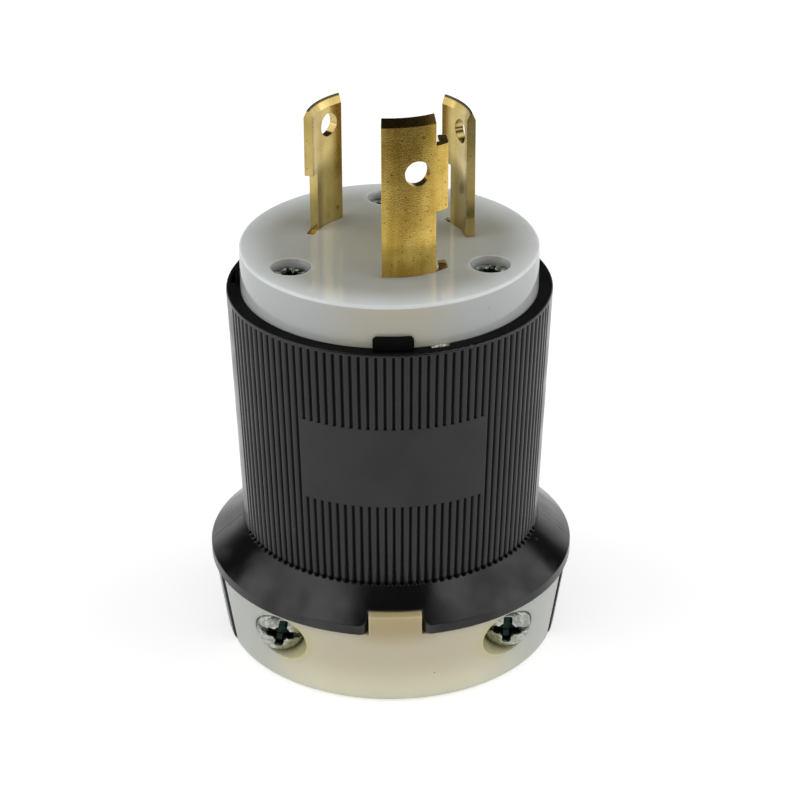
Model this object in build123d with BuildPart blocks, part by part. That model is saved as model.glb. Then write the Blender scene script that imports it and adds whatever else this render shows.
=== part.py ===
from build123d import *
from math import asin, atan, cos, degrees, hypot, radians, sin, sqrt
import os

# A three-blade locking power plug, standing on the flat bottom of its cord clamp.
# The origin is the centre of that flat bottom. +Z runs up the plug to the blade tips and -Y is the
# front, the side with the smooth label panel and the heads of the clamp screws.

# Outer form, from the bottom up
clamp_height = 13.85
skirt_band_height = 1.55
skirt_slope_height = 4.8
body_length = 40.8
face_projection = 6.9
face_radius = 23.5
shell_wall = 2.1
body_foot_radius = 24.0
skirt_radius = 29.5
clamp_top_inset = 0.35
clamp_taper = 2.1
base_edge_radius = 1.5
rim_edge_radius = 0.35

# Grip ribs: grooves cut along the tapered body, left out on the label panel and on both side strips
rib_pitch_angle = 3.0
groove_mouth_width = 0.84
groove_floor_width = 0.62
groove_depth = 0.32
groove_overrun = 0.5
groove_rim_gap = 0.2
ribbed_half_angle = 72.0
panel_half_angle = 34.5
panel_bottom_gap = 13.9
panel_height = 13.8

# Keys that stand on the rim beside the face, each with a pocket behind it
rim_key_angles = (-90.0, 172.0)
rim_key_width = 6.25
rim_key_thickness = 0.6
rim_key_height = 2.0
rim_key_corner = 0.7
rim_pocket_width = 0.75
rim_pocket_depth = 3.0
rim_nick_angle = -72.5
rim_nick_width = 3.2
rim_nick_depth = 0.8

# Face and terminal base
mouth_clearance = 0.15
face_edge_radius = 0.4
face_plug_depth = 4.0
face_core_radius = 7.5
face_core_depth = 7.0
base_length = 16.0
base_clearance = 0.35
terminal_ceiling = 5.0
terminal_cavity_width = 10.6
terminal_core_radius = 8.5

# Blades, as strips bent to a circle. Each fills its slot in the face, and is cut back above it to a hook
# or, on the ground blade, to a leg
line_blade_radius = 13.5
ground_blade_radius = 13.3
blade_thickness = 1.4
tip_bevel_height = 1.35
tip_bevel_width = 0.6
hook_height = 9.9
foot_sink = 0.3
shoulder_height = 2.5
shoulder_overlap_angle = 4.5
tail_half_angle = 15.0
tail_end_gap = 3.0
slot_clearance = 0.03
pocket_clearance = 0.15
pocket_clearance_angle = 0.7
line_blade_starts = {"right": 6.2, "left": 126.5}
line_blade_arc = 29.5
line_hook_arc = 9.5
line_blade_length = 20.9
line_hole_angles = {"right": 21.5, "left": 139.8}
line_hole_height = 16.6
line_hole_radius = 1.9
ground_blade_start = -96.3
ground_blade_arc = 37.4
ground_blade_length = 25.6
ground_hole_angle = -72.2
ground_hole_height = 16.7
ground_hole_radius = 1.985
ground_leg_direction = -85.0
ground_leg_offset = 7.2
ground_leg_reach = 3.3
ground_leg_drop = 5.0
ground_leg_corner_radius = 0.4
ground_bend_radius = 1.2

# Terminals
wire_gap = 3.1
wire_plate_width = 9.0
wire_plate_height = 8.6
wire_plate_thickness = 1.5
wire_plate_corner_radius = 0.8
terminal_screw_radius = 2.0
terminal_screw_end = 2.2
terminal_head_radius = 3.6
terminal_head_height = 2.4
terminal_recess_width = 1.1
terminal_recess_depth = 1.2

# Assembly screws
assembly_screw_angles = {"left": -150.0, "right": -30.0, "back": 90.0}
assembly_screw_inset = 5.8
assembly_screw_radius = 1.75
assembly_head_radius = 2.95
assembly_head_height = 2.1
assembly_head_sink = 0.95
assembly_recess_width = 0.9
assembly_recess_depth = 1.1
assembly_screw_bite = 12.0
assembly_screw_tip_gap = 1.0
boss_wall = 1.75
boss_web = 2.4

# Cord clamp: the front jaw slides back between the side walls of the fixed rear jaw
floor_thickness = 2.2
cord_radius_largest = 9.9
cord_ridge_height = 0.7
cord_ridge_width = 2.0
cord_ridge_count = 3
jaw_gap = 9.0
jaw_clearance = 0.15
clamp_side_wall = 1.75
side_wall_reach = 8.0
guide_key_width = 8.3
guide_key_rise = 1.75
guide_key_length = 4.0
guide_end_gap = 0.6
skirt_notch_radius = 1.3
clamp_screw_height = 9.3
clamp_screw_inset = 11.15
clamp_screw_radius = 2.05
clamp_head_radius = 3.8
clamp_head_height = 2.4
clamp_recess_width = 1.2
clamp_recess_depth = 1.2
clamp_seat_depth = 4.845
clamp_screw_length = 26.6
nut_width = 8.0
nut_thickness = 3.2
nut_front_wall = 2.0
core_width = 6.4
core_length = 8.6
core_offset = 6.6
core_setback = 12.9
core_depth = 10.0
core_corner_radius = 1.0

# Screw heads: the cross recess spans a share of the head, and a slotted head is cut right across
cross_span_share = 0.6
head_chamfer_share = 0.16

# Shared fits
thread_clearance = 0.05
hole_clearance = 0.25

# Stations and radii that follow
skirt_edge = clamp_height + skirt_band_height
body_foot = skirt_edge + skirt_slope_height
rim = body_foot + body_length
face_top = rim + face_projection
face_bottom = rim - face_plug_depth
base_bottom = face_bottom - base_length
cavity_top = face_bottom - terminal_ceiling
guide_ceiling = skirt_edge + guide_key_rise
chamber_floor = guide_ceiling + floor_thickness
mouth_radius = face_radius + mouth_clearance
rim_radius = mouth_radius + shell_wall
clamp_top_radius = skirt_radius - clamp_top_inset
clamp_bottom_radius = clamp_top_radius - clamp_taper
terminal_height = (base_bottom + cavity_top) / 2
shoulder_bottom = face_bottom - shoulder_height
tail_bottom = base_bottom + tail_end_gap
foot_top = face_top - foot_sink
hook_bottom = face_top + hook_height
clamp_screw_offset = clamp_top_radius - clamp_screw_inset
clamp_screw_surface = clamp_bottom_radius + clamp_taper * clamp_screw_height / clamp_height
clamp_seat_setback = sqrt(clamp_screw_surface**2 - clamp_screw_offset**2) - clamp_seat_depth
assembly_screw_circle = face_radius - assembly_screw_inset
cord_hole_radius = cord_radius_largest + cord_ridge_height
jaw_stop = jaw_gap / 2
jaw_top = clamp_height - jaw_clearance
assembly_seat = face_top - assembly_head_sink - assembly_head_height
draft_rise = hypot(body_length, rim_radius - body_foot_radius)
draft_angle = atan((rim_radius - body_foot_radius) / body_length)


# Outer radius of the tapered body at a height
def body_radius(height):
    return body_foot_radius + (rim_radius - body_foot_radius) * (height - body_foot) / body_length


# A plane that stands on the radius at an angle, facing outwards, with its own y upwards
def outward_plane(angle, radius, height):
    turn = radians(angle)
    return Plane(
        origin=(radius * cos(turn), radius * sin(turn), height),
        x_dir=(-sin(turn), cos(turn), 0),
        z_dir=(cos(turn), sin(turn), 0),
    )


# A plane through the plug's axis at an angle, with its own x outwards and y upwards
def section_plane(angle):
    turn = radians(angle)
    return Plane(
        origin=(0, 0, 0),
        x_dir=(cos(turn), sin(turn), 0),
        z_dir=(sin(turn), -cos(turn), 0),
    )


# Names a finished piece and writes it
def write_piece(piece, name):
    piece.label = name
    export_step(piece, f"parts/{name}.step")


# A machine screw with a cross recess, its head standing out of the seat plane
def machine_screw(seat, head_radius, head_height, shank_radius, length, slotted, recess_width, recess_depth):
    cross_span = 2 * head_radius * cross_span_share
    long_span = 2 * head_radius + recess_width if slotted else cross_span
    with BuildPart() as screw:
        with BuildSketch(seat):
            Circle(head_radius)
        extrude(amount=head_height)
        head_face = screw.faces().sort_by(Axis(seat.origin, seat.z_dir))[-1]
        chamfer(head_face.edges(), head_height * head_chamfer_share)
        with BuildSketch(seat):
            Circle(shank_radius)
        extrude(amount=-length)
        with BuildSketch(seat.offset(head_height)):
            Rectangle(long_span, recess_width)
            Rectangle(recess_width, cross_span)
        extrude(amount=-recess_depth, mode=Mode.SUBTRACT)
    return screw.part


# One groove between two ribs on the +X side, along the drafted wall from one height to another
def groove_tool(low, high):
    wall = Plane(
        origin=(body_radius(low), 0, low),
        x_dir=(0, 1, 0),
        z_dir=(sin(draft_angle), 0, cos(draft_angle)),
    )
    run = (high - low) * draft_rise / body_length
    with BuildPart() as groove:
        with BuildSketch(wall):
            with BuildLine():
                Polyline(
                    (-groove_mouth_width / 2, 0),
                    (-groove_floor_width / 2, -groove_depth),
                    (groove_floor_width / 2, -groove_depth),
                    (groove_mouth_width / 2, 0),
                    (0, groove_depth),
                    close=True,
                )
            make_face()
        extrude(amount=run)
    return groove.part


# The section of a strip of blade metal between two heights, or of the pocket that clears it
def strip_profile(outer, low, high, margin=0.0):
    inner = outer - blade_thickness
    Polyline(
        (inner - margin, low),
        (outer + margin, low),
        (outer + margin, high),
        (inner - margin, high),
        close=True,
    )


# The section of a blade's upper part, bevelled on both sides at the tip
def tip_profile(outer, low, high):
    inner = outer - blade_thickness
    Polyline(
        (inner, low),
        (outer, low),
        (outer, high - tip_bevel_height),
        (outer - tip_bevel_width, high),
        (inner + tip_bevel_width, high),
        (inner, high - tip_bevel_height),
        close=True,
    )


# The plan of a bent strip from one angle round to another, grown by a margin all round
def strip_plan(outer, start, arc, margin):
    first = start - degrees(margin / outer)
    last = start + arc + degrees(margin / outer)
    outer_edge = Edge.make_circle(outer + margin, start_angle=first, end_angle=last)
    inner_edge = Edge.make_circle(outer - blade_thickness - margin, start_angle=first, end_angle=last)
    first_end = Edge.make_line(outer_edge @ 0, inner_edge @ 0)
    far_end = Edge.make_line(outer_edge @ 1, inner_edge @ 1)
    make_face([outer_edge, inner_edge, first_end, far_end])


# A plane at a height, turned so that its own x runs outwards along the ground blade's leg
def leg_plane(height):
    return Plane.XY.offset(height).rotated((0, 0, ground_leg_direction))


# The plan of the ground blade with its leg, bent round at the corner, in such a plane
def ground_plan(outline, margin=0.0):
    outer = ground_blade_radius + margin
    side = ground_leg_offset + blade_thickness / 2 + margin
    start = ground_blade_start - ground_leg_direction
    strip_plan(ground_blade_radius, start, degrees(asin(side / outer) - margin / ground_blade_radius) - start,
               margin)
    with Locations((sqrt(outer**2 - side**2), ground_leg_offset)):
        Rectangle(ground_leg_reach + 2 * margin, blade_thickness + 2 * margin, align=(Align.MAX, Align.CENTER))
    fillet(outline.vertices().group_by(Axis.Y)[-1].sort_by(Axis.X)[-1], ground_bend_radius)
    fillet(outline.vertices().group_by(Axis.X)[0], ground_leg_corner_radius)


os.makedirs("parts", exist_ok=True)

ground_leg_side = ground_leg_offset + blade_thickness / 2
ground_corner_angle = ground_leg_direction + degrees(asin(ground_leg_side / ground_blade_radius))
ground_bend_arc = ground_corner_angle - ground_blade_start
blade_radii = {"ground": ground_blade_radius, "right": line_blade_radius, "left": line_blade_radius}
blade_starts = {"ground": ground_blade_start, **line_blade_starts}
blade_arcs = {"ground": ground_blade_arc, "right": line_blade_arc, "left": line_blade_arc}
foot_arcs = {
    "ground": ground_bend_arc,
    "right": line_blade_arc + line_hook_arc,
    "left": line_blade_arc + line_hook_arc,
}
terminal_angles = {name: blade_starts[name] + blade_arcs[name] / 2 for name in blade_starts}

# Shell: tapered ribbed housing, flared skirt and fixed rear jaw in one moulding
guide_half_top = clamp_top_radius - clamp_side_wall
guide_half_bottom = clamp_bottom_radius - clamp_side_wall
boss_radius = assembly_screw_radius + boss_wall
keyway_width = guide_key_width + 2 * jaw_clearance
jaw_travel = jaw_gap - 2 * jaw_clearance
keyway_end = clamp_top_radius - guide_key_length - jaw_travel - guide_end_gap
notch_corner_x = keyway_width / 2 + skirt_notch_radius
notch_corner_y = sqrt((skirt_radius - skirt_notch_radius) ** 2 - notch_corner_x**2)
notch_corner_angle = atan(notch_corner_x / notch_corner_y)
notch_middle_angle = (radians(90) - notch_corner_angle) / 2
notch_flare_x = skirt_radius * sin(notch_corner_angle)
notch_flare_y = skirt_radius * cos(notch_corner_angle)
screw_channel_end = clamp_screw_length - clamp_seat_setback + jaw_travel + hole_clearance
pocket_outer_radius = mouth_radius + rim_key_thickness + rim_pocket_width
groove_top = rim - rim_edge_radius - groove_rim_gap
full_grooves = groove_tool(body_foot - groove_overrun, groove_top)
low_grooves = groove_tool(body_foot - groove_overrun, body_foot + panel_bottom_gap)
high_grooves = groove_tool(body_foot + panel_bottom_gap + panel_height, groove_top)
ribbed_count = int(2 * ribbed_half_angle / rib_pitch_angle) + 1
panel_count = 2 * int(panel_half_angle / rib_pitch_angle) + 1
panel_reach = (panel_count - 1) / 2 * rib_pitch_angle
beside_panel_count = (ribbed_count - panel_count) // 2
beside_panel_range = (beside_panel_count - 1) * rib_pitch_angle

with BuildPart() as shell:
    # Solid outer form
    with BuildSketch(Plane.XZ):
        with BuildLine():
            Polyline(
                (0, 0),
                (clamp_bottom_radius, 0),
                (clamp_top_radius, clamp_height),
                (skirt_radius, clamp_height),
                (skirt_radius, skirt_edge),
                (body_foot_radius, body_foot),
                (rim_radius, rim),
                (0, rim),
                close=True,
            )
        make_face()
    revolve(axis=Axis.Z)
    round_edges = shell.edges().filter_by(GeomType.CIRCLE)
    fillet(round_edges.group_by(Axis.Z)[0], base_edge_radius)
    round_edges = shell.edges().filter_by(GeomType.CIRCLE)
    fillet(round_edges.group_by(Axis.Z)[-1], rim_edge_radius)

    # Wiring space above the floor, drafted like the outside
    with BuildSketch(Plane.XZ):
        with BuildLine():
            Polyline(
                (0, chamber_floor),
                (body_radius(chamber_floor) - shell_wall, chamber_floor),
                (mouth_radius, rim),
                (0, rim),
                close=True,
            )
        make_face()
    revolve(axis=Axis.Z, mode=Mode.SUBTRACT)

    # Screw bosses, each tied to the wall by a web
    with BuildSketch(Plane.XY.offset(chamber_floor)):
        with PolarLocations(assembly_screw_circle, 3, start_angle=assembly_screw_angles["back"]):
            Circle(boss_radius)
        web_length = body_radius(chamber_floor) - shell_wall / 2 - assembly_screw_circle
        with PolarLocations(assembly_screw_circle + web_length / 2, 3,
                            start_angle=assembly_screw_angles["back"]):
            Rectangle(web_length, boss_web)
    extrude(amount=base_bottom - chamber_floor)
    with BuildSketch(Plane.XY.offset(base_bottom)):
        with PolarLocations(assembly_screw_circle, 3, start_angle=assembly_screw_angles["back"]):
            Circle(assembly_screw_radius + thread_clearance)
    extrude(amount=-(assembly_screw_bite + assembly_screw_tip_gap), mode=Mode.SUBTRACT)

    # Room for the sliding front jaw: between the side walls, and open in front of their ends
    with BuildSketch(Plane.XZ.offset(-jaw_stop)):
        with BuildLine():
            Polyline(
                (-guide_half_bottom, 0),
                (guide_half_bottom, 0),
                (guide_half_top, clamp_height),
                (-guide_half_top, clamp_height),
                close=True,
            )
        make_face()
    extrude(amount=jaw_stop + skirt_radius, mode=Mode.SUBTRACT)
    with BuildSketch(Plane.XZ.offset(side_wall_reach)):
        Rectangle(2 * skirt_radius, clamp_height, align=(Align.CENTER, Align.MIN))
    extrude(amount=skirt_radius, mode=Mode.SUBTRACT)

    # Cord passage through the clamp and the floor
    with BuildSketch(Plane.XY):
        Circle(cord_hole_radius)
    extrude(amount=chamber_floor, mode=Mode.SUBTRACT)

    # Gripping ridges on the fixed jaw
    for index in range(cord_ridge_count):
        ridge_middle = clamp_height * (index + 0.5) / cord_ridge_count
        with BuildSketch(Plane.XY.offset(ridge_middle - cord_ridge_width / 2)):
            Circle(cord_hole_radius + cord_ridge_height)
            Circle(cord_radius_largest, mode=Mode.SUBTRACT)
            with Locations((0, jaw_stop)):
                Rectangle(4 * cord_hole_radius, 2 * cord_hole_radius, align=(Align.CENTER, Align.MIN),
                          mode=Mode.INTERSECT)
        extrude(amount=cord_ridge_width)

    # Keyway under the skirt for the jaw's key, which shows as the notch in front. Its mouth flares out to
    # the skirt's edge by a round corner on each side
    with BuildSketch(Plane.XY.offset(clamp_height)):
        with BuildLine():
            ThreePointArc(
                (keyway_width / 2, -notch_corner_y),
                (notch_corner_x - skirt_notch_radius * cos(notch_middle_angle),
                 -notch_corner_y - skirt_notch_radius * sin(notch_middle_angle)),
                (notch_flare_x, -notch_flare_y),
            )
            Polyline(
                (notch_flare_x, -notch_flare_y),
                (notch_flare_x, -skirt_radius - skirt_notch_radius),
                (0, -skirt_radius - skirt_notch_radius),
            )
            Polyline(
                (keyway_width / 2, -notch_corner_y),
                (keyway_width / 2, -keyway_end),
                (0, -keyway_end),
            )
            mirror(about=Plane.YZ)
        make_face()
    extrude(amount=guide_ceiling - clamp_height, mode=Mode.SUBTRACT)

    # Nut pockets from below, and channels for the clamp screws' ends
    with BuildSketch(Plane.XY):
        with Locations(
            (-clamp_screw_offset, jaw_stop + nut_front_wall),
            (clamp_screw_offset, jaw_stop + nut_front_wall),
        ):
            Rectangle(nut_width + 2 * hole_clearance, nut_thickness + hole_clearance,
                      align=(Align.CENTER, Align.MIN))
    extrude(amount=clamp_screw_height + nut_width / 2 + hole_clearance, mode=Mode.SUBTRACT)
    with BuildSketch(Plane.XZ.offset(-jaw_stop)):
        with Locations((-clamp_screw_offset, clamp_screw_height), (clamp_screw_offset, clamp_screw_height)):
            Circle(clamp_screw_radius + hole_clearance)
    extrude(amount=-(screw_channel_end - jaw_stop), mode=Mode.SUBTRACT)

    # Coring of the rear jaw from below
    with BuildSketch(Plane.XY):
        with Locations((-core_offset, core_setback), (core_offset, core_setback)):
            RectangleRounded(core_width, core_length, core_corner_radius, align=(Align.CENTER, Align.MIN))
    extrude(amount=core_depth, mode=Mode.SUBTRACT)

    # Keys on the rim, each with its pocket, and the small nick at the gate
    for angle in rim_key_angles:
        key_plane = Plane.XY.offset(rim).rotated((0, 0, angle))
        with BuildSketch(key_plane.offset(-rim_pocket_depth)):
            Circle(pocket_outer_radius)
            Circle(mouth_radius + rim_key_thickness, mode=Mode.SUBTRACT)
            with Locations((pocket_outer_radius, 0)):
                Rectangle(2 * rim_pocket_depth, rim_key_width, mode=Mode.INTERSECT)
        extrude(amount=2 * rim_pocket_depth, mode=Mode.SUBTRACT)
        with BuildSketch(key_plane.offset(-rim_pocket_depth)):
            Circle(mouth_radius + rim_key_thickness)
            Circle(mouth_radius, mode=Mode.SUBTRACT)
            with Locations((mouth_radius, 0)):
                Rectangle(2 * rim_pocket_depth, rim_key_width, mode=Mode.INTERSECT)
        extrude(amount=rim_pocket_depth + rim_key_height)
        key_corners = shell.edges().filter_by(GeomType.LINE).filter_by_position(
            Axis.Z, rim + rim_key_height, rim + rim_key_height)
        fillet(key_corners.filter_by(lambda edge: edge.length < 2 * rim_key_thickness), rim_key_corner)
    with BuildSketch(Plane.XY.offset(rim).rotated((0, 0, rim_nick_angle))):
        with Locations((mouth_radius, 0)):
            Rectangle(2 * rim_pocket_width, rim_nick_width)
    extrude(amount=-rim_nick_depth, mode=Mode.SUBTRACT)

    # Grooves between the grip ribs, behind, beside the label panel, and above and below it
    with PolarLocations(0, ribbed_count, 90 - ribbed_half_angle, 2 * ribbed_half_angle, endpoint=True):
        add(full_grooves, mode=Mode.SUBTRACT)
    with PolarLocations(0, beside_panel_count, -90 - ribbed_half_angle, beside_panel_range, endpoint=True):
        add(full_grooves, mode=Mode.SUBTRACT)
    with PolarLocations(0, beside_panel_count, -90 + ribbed_half_angle, -beside_panel_range, endpoint=True):
        add(full_grooves, mode=Mode.SUBTRACT)
    with PolarLocations(0, panel_count, -90 - panel_reach, 2 * panel_reach, endpoint=True):
        add(low_grooves, mode=Mode.SUBTRACT)
        add(high_grooves, mode=Mode.SUBTRACT)
write_piece(shell.part, "shell")

# Blade holder: the white face, a thick disc with a slot for each blade and three sunk screw seats
holder_foot_radius = body_radius(face_bottom) - shell_wall - mouth_clearance
with BuildPart() as blade_holder:
    with BuildSketch(Plane.XZ):
        with BuildLine():
            Polyline(
                (0, face_bottom),
                (holder_foot_radius, face_bottom),
                (face_radius, rim),
                (face_radius, face_top),
                (0, face_top),
                close=True,
            )
        make_face()
    revolve(axis=Axis.Z)
    fillet(blade_holder.edges().filter_by(GeomType.CIRCLE).group_by(Axis.Z)[-1], face_edge_radius)
    with BuildSketch(Plane.XY.offset(face_bottom)):
        Circle(face_core_radius)
    extrude(amount=face_core_depth, mode=Mode.SUBTRACT)
    with BuildSketch(leg_plane(face_bottom)) as slot_outline:
        ground_plan(slot_outline, slot_clearance)
    extrude(amount=face_top - face_bottom, mode=Mode.SUBTRACT)
    for name, start in line_blade_starts.items():
        with BuildSketch(Plane.XY.offset(face_bottom)):
            strip_plan(line_blade_radius, start, foot_arcs[name], slot_clearance)
        extrude(amount=face_top - face_bottom, mode=Mode.SUBTRACT)
    with BuildSketch(Plane.XY.offset(face_bottom)):
        with PolarLocations(assembly_screw_circle, 3, start_angle=assembly_screw_angles["back"]):
            Circle(assembly_screw_radius + hole_clearance)
    extrude(amount=face_top - face_bottom, mode=Mode.SUBTRACT)
    with BuildSketch(Plane.XY.offset(assembly_seat)):
        with PolarLocations(assembly_screw_circle, 3, start_angle=assembly_screw_angles["back"]):
            Circle(assembly_head_radius + hole_clearance)
    extrude(amount=face_top - assembly_seat, mode=Mode.SUBTRACT)
write_piece(blade_holder.part, "blade_holder")

# Terminal base: three cavities open to the side and below, under a ceiling that carries the blades. Its
# radius clears the narrower end of its room in the shell
base_radius = min(body_radius(base_bottom), body_radius(face_bottom)) - shell_wall - base_clearance
with BuildPart() as terminal_base:
    with BuildSketch(Plane.XY.offset(base_bottom)):
        Circle(base_radius)
    extrude(amount=base_length)
    for name, angle in terminal_angles.items():
        with BuildSketch(Plane.XY.offset(base_bottom)):
            with PolarLocations(terminal_core_radius, 1, start_angle=angle):
                Rectangle(base_radius, terminal_cavity_width, align=(Align.MIN, Align.CENTER))
        extrude(amount=cavity_top - base_bottom, mode=Mode.SUBTRACT)
        with BuildSketch(section_plane(angle - tail_half_angle - pocket_clearance_angle)):
            with BuildLine():
                strip_profile(blade_radii[name], cavity_top, shoulder_bottom, pocket_clearance)
            make_face()
        revolve(axis=Axis.Z, revolution_arc=2 * (tail_half_angle + pocket_clearance_angle),
                mode=Mode.SUBTRACT)
        shoulder_arc = foot_arcs[name] + 2 * (shoulder_overlap_angle + pocket_clearance_angle)
        with BuildSketch(section_plane(blade_starts[name] - shoulder_overlap_angle - pocket_clearance_angle)):
            with BuildLine():
                strip_profile(blade_radii[name], shoulder_bottom, face_bottom, pocket_clearance)
            make_face()
        revolve(axis=Axis.Z, revolution_arc=shoulder_arc, mode=Mode.SUBTRACT)
    with BuildSketch(Plane.XY.offset(base_bottom)):
        with PolarLocations(assembly_screw_circle, 3, start_angle=assembly_screw_angles["back"]):
            Circle(assembly_screw_radius + hole_clearance)
    extrude(amount=base_length, mode=Mode.SUBTRACT)
write_piece(terminal_base.part, "terminal_base")

# Blades: a trapped shoulder with a tail for the wire below it, a foot that fills the slot in the face, and
# a hooked or L-shaped blade above
for name, start in blade_starts.items():
    is_ground = name == "ground"
    outer = blade_radii[name]
    tip_height = face_top + (ground_blade_length if is_ground else line_blade_length)
    hole_height = face_top + (ground_hole_height if is_ground else line_hole_height)
    hole_angle = ground_hole_angle if is_ground else line_hole_angles[name]
    hole_radius = ground_hole_radius if is_ground else line_hole_radius
    upper_arc = blade_arcs[name] if is_ground else foot_arcs[name]
    with BuildPart() as blade:
        if is_ground:
            with BuildSketch(leg_plane(face_bottom)) as foot_outline:
                ground_plan(foot_outline)
            extrude(amount=foot_top - face_bottom)
        else:
            with BuildSketch(section_plane(start)):
                with BuildLine():
                    strip_profile(outer, face_bottom, foot_top)
                make_face()
            revolve(axis=Axis.Z, revolution_arc=foot_arcs[name])
        with BuildSketch(section_plane(start)):
            with BuildLine():
                strip_profile(outer, foot_top, hook_bottom)
            make_face()
        revolve(axis=Axis.Z, revolution_arc=blade_arcs[name])
        with BuildSketch(section_plane(start)):
            with BuildLine():
                tip_profile(outer, hook_bottom, tip_height)
            make_face()
        revolve(axis=Axis.Z, revolution_arc=upper_arc)
        with BuildSketch(section_plane(start - shoulder_overlap_angle)):
            with BuildLine():
                strip_profile(outer, shoulder_bottom, face_bottom)
            make_face()
        revolve(axis=Axis.Z, revolution_arc=foot_arcs[name] + 2 * shoulder_overlap_angle)
        with BuildSketch(section_plane(terminal_angles[name] - tail_half_angle)):
            with BuildLine():
                strip_profile(outer, tail_bottom, shoulder_bottom)
            make_face()
        revolve(axis=Axis.Z, revolution_arc=2 * tail_half_angle)
        if is_ground:
            with BuildSketch(leg_plane(hook_bottom)) as leg_outline:
                ground_plan(leg_outline)
            extrude(amount=ground_blade_length - hook_height - ground_leg_drop)
        with BuildSketch(outward_plane(hole_angle, 0, hole_height)):
            Circle(hole_radius)
        extrude(amount=2 * outer, mode=Mode.SUBTRACT)
        with BuildSketch(outward_plane(terminal_angles[name], 0, terminal_height)):
            Circle(terminal_screw_radius + thread_clearance)
        extrude(amount=2 * outer, mode=Mode.SUBTRACT)
    write_piece(blade.part, "ground_blade" if is_ground else f"{name}_line_blade")

# Wire plates and terminal screws, one pair on each blade's tail
for name, angle in terminal_angles.items():
    plate_inner_radius = blade_radii[name] + wire_gap
    plate_outer_radius = plate_inner_radius + wire_plate_thickness
    plate_face = outward_plane(angle, plate_inner_radius, terminal_height)
    with BuildPart() as wire_plate:
        with BuildSketch(plate_face):
            RectangleRounded(wire_plate_width, wire_plate_height, wire_plate_corner_radius)
            Circle(terminal_screw_radius + hole_clearance, mode=Mode.SUBTRACT)
        extrude(amount=wire_plate_thickness)
    write_piece(wire_plate.part, f"{name}_wire_plate")
    terminal_screw = machine_screw(
        outward_plane(angle, plate_outer_radius, terminal_height),
        terminal_head_radius,
        terminal_head_height,
        terminal_screw_radius,
        wire_plate_thickness + wire_gap + blade_thickness + terminal_screw_end,
        True,
        terminal_recess_width,
        terminal_recess_depth,
    )
    write_piece(terminal_screw, f"{name}_terminal_screw")

# Assembly screws, from the sunk seats in the face down into the shell's bosses
for name, angle in assembly_screw_angles.items():
    turn = radians(angle)
    seat = Plane(
        origin=(assembly_screw_circle * cos(turn), assembly_screw_circle * sin(turn), assembly_seat),
        x_dir=(cos(turn), sin(turn), 0),
        z_dir=(0, 0, 1),
    )
    assembly_screw = machine_screw(
        seat,
        assembly_head_radius,
        assembly_head_height,
        assembly_screw_radius,
        assembly_seat - base_bottom + assembly_screw_bite,
        False,
        assembly_recess_width,
        assembly_recess_depth,
    )
    write_piece(assembly_screw, f"assembly_screw_{name}")

# Cord clamp: the white front jaw, which continues the clamp's tapered outside
with BuildPart() as cord_clamp:
    with BuildSketch(Plane.XZ):
        with BuildLine():
            Polyline(
                (0, 0),
                (clamp_bottom_radius, 0),
                (clamp_top_radius - clamp_taper * jaw_clearance / clamp_height, jaw_top),
                (0, jaw_top),
                close=True,
            )
        make_face()
    revolve(axis=Axis.Z)
    fillet(cord_clamp.edges().filter_by(GeomType.CIRCLE).group_by(Axis.Z)[0], base_edge_radius)
    with BuildSketch(Plane.XZ.offset(jaw_stop)):
        with BuildLine():
            Polyline(
                (jaw_clearance - guide_half_bottom, 0),
                (guide_half_bottom - jaw_clearance, 0),
                (guide_half_top - jaw_clearance, clamp_height),
                (jaw_clearance - guide_half_top, clamp_height),
                close=True,
            )
        make_face()
    extrude(amount=skirt_radius, mode=Mode.INTERSECT)

    # Key that runs in the keyway under the skirt
    with BuildSketch(Plane.XY.offset(jaw_top)):
        Circle(clamp_top_radius)
        with Locations((0, guide_key_length - clamp_top_radius)):
            Rectangle(guide_key_width, skirt_radius, align=(Align.CENTER, Align.MAX), mode=Mode.INTERSECT)
    extrude(amount=guide_ceiling - clamp_height)

    # Cord saddle with its gripping ridges
    with BuildSketch(Plane.XY):
        Circle(cord_hole_radius)
    extrude(amount=clamp_height, mode=Mode.SUBTRACT)
    for index in range(cord_ridge_count):
        ridge_middle = clamp_height * (index + 0.5) / cord_ridge_count
        with BuildSketch(Plane.XY.offset(ridge_middle - cord_ridge_width / 2)):
            Circle(cord_hole_radius + cord_ridge_height)
            Circle(cord_radius_largest, mode=Mode.SUBTRACT)
            with Locations((0, -jaw_stop)):
                Rectangle(4 * cord_hole_radius, 2 * cord_hole_radius, align=(Align.CENTER, Align.MAX),
                          mode=Mode.INTERSECT)
        extrude(amount=cord_ridge_width)

    # Sunk screw seats and screw holes
    with BuildSketch(Plane.XZ.offset(jaw_stop)):
        with Locations((-clamp_screw_offset, clamp_screw_height), (clamp_screw_offset, clamp_screw_height)):
            Circle(clamp_screw_radius + hole_clearance)
    extrude(amount=skirt_radius, mode=Mode.SUBTRACT)
    with BuildSketch(Plane.XZ.offset(clamp_seat_setback)):
        with Locations((-clamp_screw_offset, clamp_screw_height), (clamp_screw_offset, clamp_screw_height)):
            Circle(clamp_head_radius + hole_clearance)
    extrude(amount=skirt_radius, mode=Mode.SUBTRACT)

    # Coring from above, hidden by the skirt
    with BuildSketch(Plane.XY.offset(jaw_top)):
        with Locations((-core_offset, -core_setback), (core_offset, -core_setback)):
            RectangleRounded(core_width, core_length, core_corner_radius, align=(Align.CENTER, Align.MAX))
    extrude(amount=-core_depth, mode=Mode.SUBTRACT)
write_piece(cord_clamp.part, "cord_clamp")

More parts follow.
